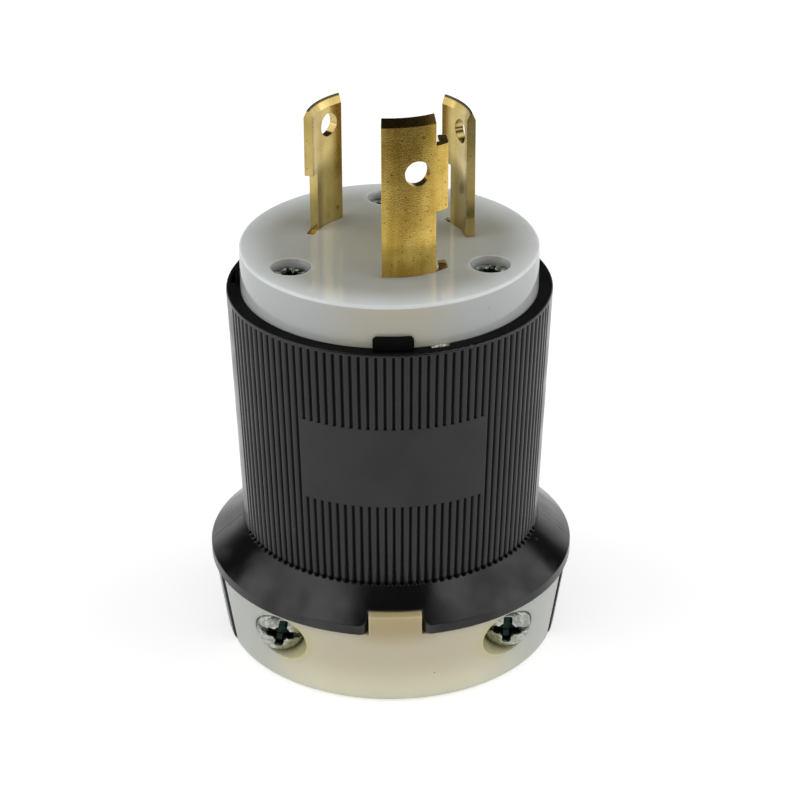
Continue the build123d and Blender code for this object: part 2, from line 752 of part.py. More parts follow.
# Clamp screws and the square nuts that they draw on
for name, side in {"left": -1, "right": 1}.items():
    seat = Plane(
        origin=(side * clamp_screw_offset, -clamp_seat_setback, clamp_screw_height),
        x_dir=(1, 0, 0),
        z_dir=(0, -1, 0),
    )
    clamp_screw = machine_screw(
        seat,
        clamp_head_radius,
        clamp_head_height,
        clamp_screw_radius,
        clamp_screw_length,
        True,
        clamp_recess_width,
        clamp_recess_depth,
    )
    write_piece(clamp_screw, f"clamp_screw_{name}")
    nut_face = Plane(
        origin=(side * clamp_screw_offset, jaw_stop + nut_front_wall, clamp_screw_height),
        x_dir=(1, 0, 0),
        z_dir=(0, 1, 0),
    )
    with BuildPart() as clamp_nut:
        with BuildSketch(nut_face):
            Rectangle(nut_width, nut_width)
            Circle(clamp_screw_radius + thread_clearance, mode=Mode.SUBTRACT)
        extrude(amount=nut_thickness)
    write_piece(clamp_nut.part, f"clamp_nut_{name}")
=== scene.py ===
import math
import bmesh
import bpy
import numpy as np
from mathutils import Matrix, Vector


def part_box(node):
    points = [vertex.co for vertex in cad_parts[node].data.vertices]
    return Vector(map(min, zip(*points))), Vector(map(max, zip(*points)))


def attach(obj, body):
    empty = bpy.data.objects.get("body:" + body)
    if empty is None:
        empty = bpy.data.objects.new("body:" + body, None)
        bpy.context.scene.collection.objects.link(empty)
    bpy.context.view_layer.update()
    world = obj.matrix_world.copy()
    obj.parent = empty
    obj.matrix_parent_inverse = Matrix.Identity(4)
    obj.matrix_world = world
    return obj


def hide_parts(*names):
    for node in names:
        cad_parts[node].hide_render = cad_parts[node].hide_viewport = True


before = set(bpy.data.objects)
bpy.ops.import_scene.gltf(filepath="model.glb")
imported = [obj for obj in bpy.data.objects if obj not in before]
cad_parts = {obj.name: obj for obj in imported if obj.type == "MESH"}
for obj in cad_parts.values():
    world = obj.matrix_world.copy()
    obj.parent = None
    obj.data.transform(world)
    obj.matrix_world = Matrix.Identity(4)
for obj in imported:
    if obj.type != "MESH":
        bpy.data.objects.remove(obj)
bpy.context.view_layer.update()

# Locking power plug: finishes, screws with their recesses and threads, and the studio around it.
# Metres, +Z up the plug's axis, -Y the front with the label panel.

mm = 0.001
print("stage 1: frame loaded,", len(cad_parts), "nodes")

# What the finishes need to know of the tapered housing and no node's box gives
housingForm = {
    "faceProjection": 6.9 * mm,
    "rimWall": 2.25 * mm,
    "bodyFoot": 20.2 * mm,
    "bodyFootRadius": 24.0 * mm,
}


def stationsFromFrame(form):
    # heights and radii that the finishes follow, from the nodes' own boxes where they give them
    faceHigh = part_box("blade_holder")[1]
    return {
        "faceTop": faceHigh.z,
        "faceRadius": faceHigh.x,
        "rim": faceHigh.z - form["faceProjection"],
        "rimRadius": faceHigh.x + form["rimWall"],
        "bodyFoot": form["bodyFoot"],
        "bodyFootRadius": form["bodyFootRadius"],
        "groundTip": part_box("ground_blade")[1].z,
        "lineTip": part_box("left_line_blade")[1].z,
    }


stations = stationsFromFrame(housingForm)

# Camera, fitted to the circles of the rim, the face and the skirt
photoView = {
    "lens": 124.4,
    "sensor": 36.0,
    "distance": 456.2 * mm,
    "elevation": 27.48,
    "turn": -1.45,
    "roll": 0.19,
    "shiftRight": -1.58 * mm,
    "shiftUp": -21.83 * mm,
    "aimHeight": 15.4 * mm,
}


def makeCamera(settings):
    elevation = math.radians(settings["elevation"])
    roll = math.radians(settings["roll"])
    forward = Vector((0, math.cos(elevation), -math.sin(elevation)))
    right = Vector((1, 0, 0))
    up = Vector((0, math.sin(elevation), math.cos(elevation)))
    place = (-settings["shiftRight"] * right - settings["shiftUp"] * up
             - settings["distance"] * forward)
    tiltedRight = math.cos(roll) * right - math.sin(roll) * up
    tiltedUp = math.sin(roll) * right + math.cos(roll) * up
    turn = Matrix.Rotation(math.radians(settings["turn"]), 3, "Z")
    axes = turn @ Matrix((tiltedRight, tiltedUp, -forward)).transposed()
    data = bpy.data.cameras.new("photoCamera")
    data.lens = settings["lens"]
    data.sensor_width = settings["sensor"]
    camera = bpy.data.objects.new("photoCamera", data)
    bpy.context.scene.collection.objects.link(camera)
    camera.matrix_world = (Matrix.Translation(turn @ place + Vector((0, 0, settings["aimHeight"])))
                           @ axes.to_4x4())
    bpy.context.scene.camera = camera


makeCamera(photoView)
print("stage 2: camera set")


# Shader helpers: most return an output socket, so that patterns read as sums
def newMaterial(name, **constants):
    material = bpy.data.materials.new(name)
    material.use_nodes = True
    tree = material.node_tree
    surface = tree.nodes["Principled BSDF"]
    for socket, value in constants.items():
        surface.inputs[socket.replace("_", " ")].default_value = value
    return material, tree, surface


def milkyNylon(name, finish):
    return newMaterial(name, IOR=1.53, Subsurface_Weight=finish["haze"], Subsurface_Scale=1.0,
                       Subsurface_Radius=finish["hazeDepth"])


def plug(tree, source, target):
    if isinstance(source, bpy.types.NodeSocket):
        tree.links.new(source, target)
    else:
        target.default_value = source


def maths(tree, operation, first, second=0.0, third=0.0, clamp=False):
    node = tree.nodes.new("ShaderNodeMath")
    node.operation = operation
    node.use_clamp = clamp
    for socket, value in zip(node.inputs, (first, second, third)):
        plug(tree, value, socket)
    return node.outputs[0]


def product(tree, *factors):
    total = factors[0]
    for factor in factors[1:]:
        total = maths(tree, "MULTIPLY", total, factor)
    return total


def weighted(tree, total, *parts):
    # the total plus each part's value times its weight
    for value, weight in parts:
        total = maths(tree, "ADD", total, product(tree, value, weight))
    return total


def apart(tree, first, second):
    return maths(tree, "ABSOLUTE", maths(tree, "SUBTRACT", first, second))


def hypotenuse(tree, first, second):
    return maths(tree, "SQRT", maths(tree, "ADD", maths(tree, "MULTIPLY", first, first),
                                     maths(tree, "MULTIPLY", second, second)))


def ramped(tree, value, low, high, toLow=0.0, toHigh=1.0, smooth=True):
    node = tree.nodes.new("ShaderNodeMapRange")
    node.interpolation_type = "SMOOTHSTEP" if smooth else "LINEAR"
    for socket, number in zip(node.inputs, (value, low, high, toLow, toHigh)):
        plug(tree, number, socket)
    return node.outputs[0]


def widened(tree, pattern, lowest, highest, middle=(0.3, 0.7)):
    # noise keeps to its middle values, which this spreads from lowest to highest
    return ramped(tree, pattern, *middle, lowest, highest)


def within(tree, distance, reach, core=0.4):
    # 1 in the core of the reach, falling to 0 at its end
    return ramped(tree, distance, core * reach, reach, 1.0, 0.0)


def mixedColour(tree, share, first, second):
    node = tree.nodes.new("ShaderNodeMix")
    node.data_type = "RGBA"
    plug(tree, share, node.inputs["Factor"])
    for socket, colour in ((node.inputs[6], first), (node.inputs[7], second)):
        plug(tree, colour if isinstance(colour, bpy.types.NodeSocket) else (*colour, 1.0), socket)
    return node.outputs[2]


def objectPlace(tree, stretch=(1.0, 1.0, 1.0)):
    place = tree.nodes.new("ShaderNodeTexCoord").outputs["Object"]
    if stretch == (1.0, 1.0, 1.0):
        return place
    mapping = tree.nodes.new("ShaderNodeMapping")
    mapping.inputs["Scale"].default_value = stretch
    tree.links.new(place, mapping.inputs["Vector"])
    return mapping.outputs["Vector"]


def axesOf(tree):
    split = tree.nodes.new("ShaderNodeSeparateXYZ")
    tree.links.new(objectPlace(tree), split.inputs[0])
    return split.outputs


def noise(tree, size, detail=2.0, roughness=0.5, stretch=(1.0, 1.0, 1.0), seed=0.0):
    # fractal noise whose blobs are about size metres across
    node = tree.nodes.new("ShaderNodeTexNoise")
    node.noise_dimensions = "4D"
    node.inputs["W"].default_value = seed
    node.inputs["Scale"].default_value = 1.0 / size
    node.inputs["Detail"].default_value = detail
    node.inputs["Roughness"].default_value = roughness
    tree.links.new(objectPlace(tree, stretch), node.inputs["Vector"])
    return node.outputs["Fac"]


def specks(tree, size, chance, stretch=(1.0, 1.0, 1.0), core=(0.12, 0.3)):
    # 1 inside a few of the cells of a Voronoi pattern, near their middles, and 0 elsewhere
    cells = tree.nodes.new("ShaderNodeTexVoronoi")
    cells.inputs["Scale"].default_value = 1.0 / size
    tree.links.new(objectPlace(tree, stretch), cells.inputs["Vector"])
    draw = tree.nodes.new("ShaderNodeSeparateColor")
    tree.links.new(cells.outputs["Color"], draw.inputs[0])
    chosen = maths(tree, "LESS_THAN", draw.outputs[0], chance)
    return product(tree, chosen, ramped(tree, cells.outputs["Distance"], *core, 1.0, 0.0))


def roundedEdges(tree, radius, samples=6, turned=(0.995, 0.86)):
    # the normal that edges of this radius would have, and how far it leaves the flat: 1 on the edge itself
    rounded = tree.nodes.new("ShaderNodeBevel")
    rounded.samples = samples
    rounded.inputs["Radius"].default_value = radius
    agreement = tree.nodes.new("ShaderNodeVectorMath")
    agreement.operation = "DOT_PRODUCT"
    tree.links.new(rounded.outputs["Normal"], agreement.inputs[0])
    tree.links.new(tree.nodes.new("ShaderNodeNewGeometry").outputs["Normal"], agreement.inputs[1])
    return rounded.outputs["Normal"], ramped(tree, agreement.outputs["Value"], *turned)


def bumped(tree, surface, height, distance, normal=None):
    # height in 0..1 becomes a relief of distance metres, over the rounded edges' normal
    node = tree.nodes.new("ShaderNodeBump")
    node.inputs["Distance"].default_value = distance
    plug(tree, height, node.inputs["Height"])
    if normal:
        tree.links.new(normal, node.inputs["Normal"])
    tree.links.new(node.outputs["Normal"], surface.inputs["Normal"])


# Black housing nylon: glossy skirt, satin ribs with dull grooves that carry painted shade, and an etched
# label panel
shellFinish = {
    "dark": (0.0028, 0.0028, 0.0030),
    "light": (0.0060, 0.0060, 0.0062),
    "cloud": 2.2 * mm,
    "grain": 0.09 * mm,
    "weights": (0.6, 0.4),  # cloud, grain
    "grainDepth": 0.006 * mm,
    "wornAndSheen": (0.060, 0.060, 0.060),
    "wornAndSheenShare": 0.6,
    "edge": 0.24 * mm,
    "dust": (0.10, 0.10, 0.10),
    "dustCell": 1.3 * mm,
    "dustChance": 0.012,
    "dustShare": 0.3,
    "roughness": (0.10, 0.25),
    "haze": 6.0 * mm,
    "grooveDepth": 0.26 * mm,
    "grooveStart": 0.2,  # of its depth
    "grooveRoughness": 0.45,
    "grooveShine": 0.10,
    "bodyShine": 0.5,
    "skirtShine": (0.36, 0.70),
    "smudge": 8.0 * mm,
    "footLine": (0.30 * mm, 0.05 * mm),
    "footReach": 0.5 * mm,
    "panel": (0.0105, 0.0105, 0.0108),
    "panelRoughness": 0.22,
    "panelHalfAngle": 34.5,
    "panelHeights": (34.1 * mm, 47.9 * mm),
    "seam": (0.0005, 0.0005, 0.0005),
    "seamAngles": (-88.0, 86.0),
    "seamWidth": 0.10 * mm,
    "seamStart": 0.2 * mm,
    "seamRoughness": 0.3,
    "seamDepth": 5.0,  # times the grain's
}


def shellNylon(finish):
    material, tree, surface = newMaterial("shellNylon", IOR=1.52)
    place = axesOf(tree)
    bodyFoot, bodyFootRadius = stations["bodyFoot"], stations["bodyFootRadius"]
    cloud = noise(tree, finish["cloud"], 3.0)
    fine = noise(tree, finish["grain"], 2.0, 0.6, seed=3.0)
    dust = specks(tree, finish["dustCell"], finish["dustChance"])
    rounded, wornAndSheen = roundedEdges(tree, finish["edge"])
    radius = hypotenuse(tree, place[0], place[1])
    angle = maths(tree, "ARCTAN2", place[0], maths(tree, "MULTIPLY", place[1], -1.0))
    # how far a point lies under the rib tops of the tapered body
    drafted = ramped(tree, place[2], bodyFoot, stations["rim"], bodyFootRadius, stations["rimRadius"],
                     smooth=False)
    inGroove = ramped(tree, maths(tree, "SUBTRACT", drafted, radius),
                      finish["grooveStart"] * finish["grooveDepth"], finish["grooveDepth"])
    onTop = maths(tree, "SUBTRACT", 1.0, inGroove)
    shade = weighted(tree, 0.0, *zip((cloud, fine), finish["weights"]))
    # painted shade: the grooves keep the darkest tone
    colour = mixedColour(tree, product(tree, shade, onTop), finish["dark"], finish["light"])
    colour = mixedColour(tree, product(tree, dust, finish["dustShare"]), colour, finish["dust"])
    # the lighter rib edges are partly wear and partly a painted highlight
    colour = mixedColour(tree, product(tree, wornAndSheen, onTop, finish["wornAndSheenShare"]), colour, finish["wornAndSheen"])
    # the mould's parting lines run down the skirt at both sides
    seams = 0.0
    for seamAngle in finish["seamAngles"]:
        away = product(tree, apart(tree, angle, math.radians(seamAngle)), radius)
        seams = maths(tree, "MAXIMUM", seams, within(tree, away, finish["seamWidth"]))
    seams = product(tree, seams,
                    maths(tree, "GREATER_THAN", radius, bodyFootRadius + finish["seamStart"]),
                    maths(tree, "LESS_THAN", place[2], bodyFoot))
    colour = mixedColour(tree, seams, colour, finish["seam"])
    # the label panel's own black ends at the grooves
    facing = maths(tree, "LESS_THAN", maths(tree, "ABSOLUTE", angle), math.radians(finish["panelHalfAngle"]))
    panelLow, panelHigh = finish["panelHeights"]
    onPanel = product(tree, facing, maths(tree, "GREATER_THAN", place[2], panelLow),
                      maths(tree, "LESS_THAN", place[2], panelHigh), onTop)
    colour = mixedColour(tree, onPanel, colour, finish["panel"])
    tree.links.new(colour, surface.inputs["Base Color"])
    # the grooves and the crease at the ribs' feet shine less: painted shade in the grooves and a painted
    # shadow line along the crease
    creaseReach, creaseCore = finish["footLine"]
    crease = product(tree, ramped(tree, apart(tree, place[2], bodyFoot), creaseCore, creaseReach, 1.0, 0.0),
                     maths(tree, "LESS_THAN", radius, bodyFootRadius + finish["footReach"]))
    dullAndShaded = maths(tree, "MAXIMUM", inGroove, crease)
    # handling has left the skirt's gloss cloudy
    smudges = widened(tree, noise(tree, finish["smudge"], 2.0, seed=12.0), *finish["skirtShine"],
                      middle=(0.32, 0.68))
    onBody = maths(tree, "GREATER_THAN", place[2], bodyFoot)
    shine = ramped(tree, onBody, 0.0, 1.0, smudges, finish["bodyShine"], smooth=False)
    shine = product(tree, shine, maths(tree, "SUBTRACT", 1.0, dullAndShaded))
    shine = weighted(tree, shine, (dullAndShaded, finish["grooveShine"]))
    tree.links.new(shine, surface.inputs["Specular IOR Level"])
    rough = widened(tree, noise(tree, finish["haze"], 2.0, seed=8.0), *finish["roughness"],
                    middle=(0.35, 0.65))
    rough = weighted(tree, rough, (onPanel, finish["panelRoughness"]), (inGroove, finish["grooveRoughness"]),
                     (seams, finish["seamRoughness"]))
    tree.links.new(rough, surface.inputs["Roughness"])
    bumped(tree, surface, weighted(tree, fine, (seams, -finish["seamDepth"])), finish["grainDepth"], rounded)
    return material


# White nylon of the face, glossy and milky, with painted light in its colour: warm in the middle, grey half
# way out, cool and light at its edge
faceFinish = {
    "middle": (0.485, 0.475, 0.385),
    "between": (0.500, 0.505, 0.455),
    "betweenRadii": (0.15, 0.70),  # shares of the face's radius
    "betweenShift": 0.5,
    "edge": (0.78, 0.815, 0.81),
    "edgeRadii": (0.72, 1.01),
    "edgeShift": 0.35,
    "cloud": 7.0 * mm,
    "sideDrop": 0.5 * mm,
    "paintedSideLight": (0.545, 0.570, 0.560),
    "paintedWarmLight": (0.59, 0.565, 0.465),
    "warmReach": (14.0 * mm, 3.0 * mm),
    "dirt": (0.20, 0.18, 0.15),
    "dirtShare": 0.3,
    "dirtRoughness": 0.25,
    "dotCell": 1.6 * mm,
    "dotChance": 0.02,
    "streakCell": 2.2 * mm,
    "streakChance": 0.03,
    "streakStretch": (0.25, 1.6, 1.0),
    "wornAndSheen": (0.86, 0.88, 0.87),
    "wornAndSheenShare": 0.5,
    "bevel": 0.12 * mm,
    "roughness": (0.03, 0.06),
    "polish": 0.5 * mm,
    "wave": 5.0 * mm,
    "waveDepth": 0.02 * mm,
    "haze": 0.75,
    "hazeDepth": (1.9 * mm, 1.8 * mm, 1.7 * mm),
}


def faceNylon(finish):
    material, tree, surface = milkyNylon("faceNylon", finish)
    place = axesOf(tree)
    cloud = maths(tree, "SUBTRACT", noise(tree, finish["cloud"], 3.0), 0.5)
    radius = hypotenuse(tree, place[0], place[1])
    rounded, wornAndSheen = roundedEdges(tree, finish["bevel"])
    # painted light: darker and warm in the middle, lighter and cool towards the edge
    colour = finish["middle"]
    for ring in ("between", "edge"):
        inner, outer = (portion * stations["faceRadius"] for portion in finish[ring + "Radii"])
        outwards = maths(tree, "ADD", ramped(tree, radius, inner, outer),
                         product(tree, cloud, finish[ring + "Shift"]), clamp=True)
        colour = mixedColour(tree, outwards, colour, finish[ring])
    # painted light on the side: lighter and cooler all round, and a painted warm light in the middle of the
    # front, under the ground blade
    onSide = maths(tree, "LESS_THAN", place[2], stations["faceTop"] - finish["sideDrop"])
    paintedWarmShare = product(tree, ramped(tree, maths(tree, "ABSOLUTE", place[0]), *finish["warmReach"]), onSide,
                    maths(tree, "LESS_THAN", place[1], 0.0))
    colour = mixedColour(tree, onSide, colour, finish["paintedSideLight"])
    colour = mixedColour(tree, paintedWarmShare, colour, finish["paintedWarmLight"])
    dirt = maths(tree, "MAXIMUM", specks(tree, finish["dotCell"], finish["dotChance"]),
                 specks(tree, finish["streakCell"], finish["streakChance"], finish["streakStretch"]))
    colour = mixedColour(tree, product(tree, dirt, finish["dirtShare"]), colour, finish["dirt"])
    colour = mixedColour(tree, product(tree, wornAndSheen, finish["wornAndSheenShare"]), colour, finish["wornAndSheen"])
    tree.links.new(colour, surface.inputs["Base Color"])
    rough = widened(tree, noise(tree, finish["polish"], 3.0, seed=1.0), *finish["roughness"])
    rough = weighted(tree, rough, (dirt, finish["dirtRoughness"]))
    tree.links.new(rough, surface.inputs["Roughness"])
    bumped(tree, surface, noise(tree, finish["wave"], 1.0, seed=2.0), finish["waveDepth"], rounded)
    return material


# Natural nylon of the clamp jaw: creamy in the middle, with painted light, lighter at its foot and cooler at
# the sides, a painted tan shade on its key, a painted yellow glow round the screw seats, and one tiny brown
# speck low on the front
jawFinish = {
    "middle": (0.75, 0.685, 0.505),
    "foot": (0.96, 0.92, 0.70),
    "footReach": (9.0 * mm, 0.5 * mm),
    "side": (0.600, 0.625, 0.570),
    "sideReach": (12.0 * mm, 24.0 * mm),
    "cloud": 6.0 * mm,
    "cloudShift": 0.3,
    "key": (0.58, 0.47, 0.265),
    "keyHeights": (10.5 * mm, 15.0 * mm),
    "keyReach": (8.0 * mm, 3.0 * mm),
    "seat": (0.66, 0.62, 0.30),
    "paintedGlowShare": 0.65,
    "seatAxis": (18.0 * mm, 9.3 * mm),
    "paintedGlowReach": (3.9 * mm, 5.4 * mm),
    "seatInwards": (2.0 * mm, -3.5 * mm),
    "wornAndSheen": (0.86, 0.84, 0.76),
    "wornAndSheenShare": 0.3,
    "bevel": 0.15 * mm,
    "mark": (0.20, 0.15, 0.09),
    "markPlace": (6.2 * mm, 5.5 * mm),
    "markSize": 0.16 * mm,
    "roughness": (0.17, 0.21),
    "wipe": 2.5 * mm,
    "wipeStretch": (1.0, 1.0, 0.4),
    "wave": 4.0 * mm,
    "waveDepth": 0.02 * mm,
    "haze": 0.75,
    "hazeDepth": (2.6 * mm, 2.2 * mm, 1.4 * mm),
}


def jawNylon(finish):
    material, tree, surface = milkyNylon("jawNylon", finish)
    place = axesOf(tree)
    rounded, wornAndSheen = roundedEdges(tree, finish["bevel"])
    cloud = maths(tree, "SUBTRACT", noise(tree, finish["cloud"], 2.0, seed=5.0), 0.5)
    across = maths(tree, "ABSOLUTE", place[0])
    footward = ramped(tree, place[2], *finish["footReach"])
    paintedSideLightShare = maths(tree, "ADD", ramped(tree, across, *finish["sideReach"]),
                     product(tree, cloud, finish["cloudShift"]), clamp=True)
    keyward = product(tree, ramped(tree, place[2], *finish["keyHeights"]),
                      ramped(tree, across, *finish["keyReach"]))
    # painted light: lighter towards the foot and cooler at the sides; painted shade, tan, on the key
    colour = mixedColour(tree, footward, finish["middle"], finish["foot"])
    colour = mixedColour(tree, paintedSideLightShare, colour, finish["side"])
    colour = mixedColour(tree, keyward, colour, finish["key"])
    # painted light: a yellow glow round each seat, on the side towards the plug's middle
    seatX, seatZ = finish["seatAxis"]
    fromSeat = hypotenuse(tree, maths(tree, "SUBTRACT", across, seatX),
                          maths(tree, "SUBTRACT", place[2], seatZ))
    inwards = ramped(tree, across, *(seatX + reach for reach in finish["seatInwards"]))
    glow = product(tree, ramped(tree, fromSeat, *finish["paintedGlowReach"], 1.0, 0.0), inwards,
                   finish["paintedGlowShare"])
    colour = mixedColour(tree, glow, colour, finish["seat"])
    colour = mixedColour(tree, product(tree, wornAndSheen, finish["wornAndSheenShare"]), colour, finish["wornAndSheen"])
    markX, markZ = finish["markPlace"]
    fromMark = hypotenuse(tree, maths(tree, "SUBTRACT", place[0], markX),
                          maths(tree, "SUBTRACT", place[2], markZ))
    mark = product(tree, within(tree, fromMark, finish["markSize"]),
                   maths(tree, "LESS_THAN", place[1], 0.0))
    colour = mixedColour(tree, mark, colour, finish["mark"])
    tree.links.new(colour, surface.inputs["Base Color"])
    wipes = noise(tree, finish["wipe"], 2.0, stretch=finish["wipeStretch"], seed=6.0)
    tree.links.new(widened(tree, wipes, *finish["roughness"]), surface.inputs["Roughness"])
    bumped(tree, surface, noise(tree, finish["wave"], 1.0, seed=7.0), finish["waveDepth"], rounded)
    return material


# Stamped brass: grain and dark flecks on the ground blade, drawn lines on the line blades. The sheared tips
# carry a painted dark reflection, down the bevels of the ground blade and along the very top of the line
# blades
stampedBrass = {
    "cloud": 4.0 * mm,
    "band": 1.1 * mm,
    "bandStretch": (1.0, 1.0, 0.08),
    "weights": (0.4, 0.35, 0.25),  # cloud, grain, bands
    "line": 0.16 * mm,
    "lineStretch": (1.0, 1.0, 0.05),
    "smallFleck": 0.55 * mm,
    "largeFleck": 1.6 * mm,
    "largeChance": 0.4,  # of the small flecks' chance
    "largeShare": 0.8,
    "tarnishShare": 0.75,
    "pitDepth": 0.15,  # times the grain's
    "wornAndSheen": (0.88, 0.72, 0.36),
    "wornAndSheenShare": 0.5,
    "paintedTipShare": 0.92,
    "tipRoughness": 0.12,
}
groundBrass = dict(
    stampedBrass,
    name="groundBrass",
    light=(0.90, 0.645, 0.175),
    deep=(0.58, 0.375, 0.070),
    tarnish=(0.10, 0.055, 0.012),
    tip=(0.055, 0.030, 0.010),
    tipHeights=(1.45 * mm, 1.25 * mm),
    tipStation="groundTip",
    grain=0.17 * mm,
    grainDepth=0.015 * mm,
    drawn=0.10,
    fleckChance=0.22,
    roughness=(0.11, 0.20),
    edge=0.12 * mm,
)
lineBrass = dict(
    stampedBrass,
    name="lineBrass",
    light=(0.73, 0.57, 0.225),
    deep=(0.50, 0.375, 0.115),
    tarnish=(0.20, 0.13, 0.05),
    tip=(0.070, 0.045, 0.020),
    tipHeights=(0.34 * mm, 0.22 * mm),
    tipStation="lineTip",
    grain=0.10 * mm,
    grainDepth=0.010 * mm,
    drawn=0.75,
    fleckChance=0.05,
    roughness=(0.13, 0.22),
    edge=0.10 * mm,
)


def brass(finish):
    material, tree, surface = newMaterial(finish["name"], Metallic=1.0)
    place = axesOf(tree)
    rounded, wornAndSheen = roundedEdges(tree, finish["edge"])
    fine = noise(tree, finish["grain"], 2.0, 0.6, seed=11.0)
    lines = noise(tree, finish["line"], 2.0, stretch=finish["lineStretch"], seed=12.0)
    bands = noise(tree, finish["band"], 2.0, stretch=finish["bandStretch"], seed=14.0)
    cloud = noise(tree, finish["cloud"], 3.0, seed=13.0)
    shade = weighted(tree, 0.0, *zip((cloud, fine, bands), finish["weights"]))
    colour = mixedColour(tree, widened(tree, shade, 0.0, 1.0, middle=(0.38, 0.62)), finish["deep"],
                         finish["light"])
    largePits = specks(tree, finish["largeFleck"], finish["largeChance"] * finish["fleckChance"])
    pits = maths(tree, "MAXIMUM", specks(tree, finish["smallFleck"], finish["fleckChance"]),
                 product(tree, largePits, finish["largeShare"]))
    colour = mixedColour(tree, product(tree, pits, finish["tarnishShare"]), colour, finish["tarnish"])
    colour = mixedColour(tree, product(tree, wornAndSheen, finish["wornAndSheenShare"]), colour, finish["wornAndSheen"])
    tip = stations[finish["tipStation"]]
    # painted dark reflection on the sheared tips, which are also rougher
    paintedDarkTip = ramped(tree, place[2], *(tip - drop for drop in finish["tipHeights"]))
    colour = mixedColour(tree, product(tree, paintedDarkTip, finish["paintedTipShare"]), colour, finish["tip"])
    tree.links.new(colour, surface.inputs["Base Color"])
    rough = widened(tree, fine, *finish["roughness"])
    tree.links.new(weighted(tree, rough, (paintedDarkTip, finish["tipRoughness"])), surface.inputs["Roughness"])
    relief = weighted(tree, 0.0, (fine, 1.0 - finish["drawn"]), (lines, finish["drawn"]),
                      (pits, -finish["pitDepth"]))
    bumped(tree, surface, relief, finish["grainDepth"], rounded)
    return material


# Zinc plate on the screws, with painted shade, dark and greenish, down in the recess, and darker and more
# mottled on the sunk ones
screwZinc = {
    "cloud": 0.8 * mm,
    "wornAndSheen": (0.75, 0.77, 0.73),
    "wornAndSheenShare": 0.4,
    "edge": 0.06 * mm,
    "recessDepths": (0.05, 0.55),  # shares of the cross's depth
}
clampZinc = dict(
    screwZinc,
    name="clampZinc",
    plate=(0.60, 0.625, 0.575),
    shadow=(0.36, 0.385, 0.335),
    recess=(0.018, 0.032, 0.026),
    roughness=(0.20, 0.34),
    grain=0.14 * mm,
    grainDepth=0.012 * mm,
)
faceZinc = dict(
    screwZinc,
    name="faceZinc",
    plate=(0.66, 0.70, 0.62),
    shadow=(0.07, 0.09, 0.07),
    recess=(0.012, 0.022, 0.016),
    roughness=(0.14, 0.26),
    grain=0.30 * mm,
    grainDepth=0.040 * mm,
)


def zincPlate(finish):
    material, tree, surface = newMaterial(finish["name"], Metallic=1.0)
    cloud = noise(tree, finish["cloud"], 3.0, seed=21.0)
    fine = noise(tree, finish["grain"], 2.0, seed=22.0)
    rounded, wornAndSheen = roundedEdges(tree, finish["edge"], 4)
    depth = tree.nodes.new("ShaderNodeAttribute")
    depth.attribute_name = "recessDepth"
    recessShadeMask = ramped(tree, depth.outputs["Fac"], *finish["recessDepths"])
    colour = mixedColour(tree, widened(tree, cloud, 0.0, 1.0, middle=(0.42, 0.60)), finish["shadow"],
                         finish["plate"])
    colour = mixedColour(tree, product(tree, wornAndSheen, finish["wornAndSheenShare"]), colour, finish["wornAndSheen"])
    # painted shade down in the recess
    colour = mixedColour(tree, recessShadeMask, colour, finish["recess"])
    tree.links.new(colour, surface.inputs["Base Color"])
    tree.links.new(widened(tree, fine, *finish["roughness"]), surface.inputs["Roughness"])
    bumped(tree, surface, fine, finish["grainDepth"], rounded)
    return material


# What stays inside: the clamp's nuts, the terminals' pressure plates and screws, and their black base
insideMetal = {
    "metallic": 1.0,
    "cloud": 1.4 * mm,
    "grain": 0.15 * mm,
    "grainDepth": 0.008 * mm,
    "wornAndSheen": (0.80, 0.79, 0.74),
    "wornAndSheenShare": 0.4,
    "edge": 0.08 * mm,
}
nutSteel = dict(insideMetal, name="nutSteel", light=(0.66, 0.67, 0.64), dark=(0.48, 0.49, 0.46),
                roughness=(0.28, 0.40))
plateSteel = dict(insideMetal, name="plateSteel", light=(0.62, 0.63, 0.61), dark=(0.45, 0.46, 0.44),
                  roughness=(0.30, 0.42))
greenScrew = dict(insideMetal, name="greenScrew", light=(0.06, 0.30, 0.11), dark=(0.03, 0.17, 0.06),
                  roughness=(0.24, 0.36), metallic=0.75)
brassScrew = dict(insideMetal, name="brassScrew", light=(0.82, 0.60, 0.22), dark=(0.62, 0.42, 0.12),
                  roughness=(0.22, 0.34))
silverScrew = dict(insideMetal, name="silverScrew", light=(0.74, 0.74, 0.72), dark=(0.56, 0.56, 0.54),
                   roughness=(0.22, 0.34))
baseFinish = {
    "dark": (0.020, 0.019, 0.020),
    "light": (0.034, 0.032, 0.033),
    "cloud": 3.0 * mm,
    "grain": 0.12 * mm,
    "grainDepth": 0.008 * mm,
    "wornAndSheen": (0.09, 0.09, 0.09),
    "wornAndSheenShare": 0.3,
    "edge": 0.08 * mm,
    "roughness": (0.42, 0.55),
}


def plainMetal(finish):
    material, tree, surface = newMaterial(finish["name"], Metallic=finish["metallic"])
    cloud = noise(tree, finish["cloud"], 3.0, seed=31.0)
    fine = noise(tree, finish["grain"], 2.0, seed=32.0)
    rounded, wornAndSheen = roundedEdges(tree, finish["edge"], 4)
    colour = mixedColour(tree, widened(tree, cloud, 0.0, 1.0, middle=(0.35, 0.65)), finish["dark"],
                         finish["light"])
    colour = mixedColour(tree, product(tree, wornAndSheen, finish["wornAndSheenShare"]), colour, finish["wornAndSheen"])
    tree.links.new(colour, surface.inputs["Base Color"])
    tree.links.new(widened(tree, fine, *finish["roughness"]), surface.inputs["Roughness"])
    bumped(tree, surface, fine, finish["grainDepth"], rounded)
    return material


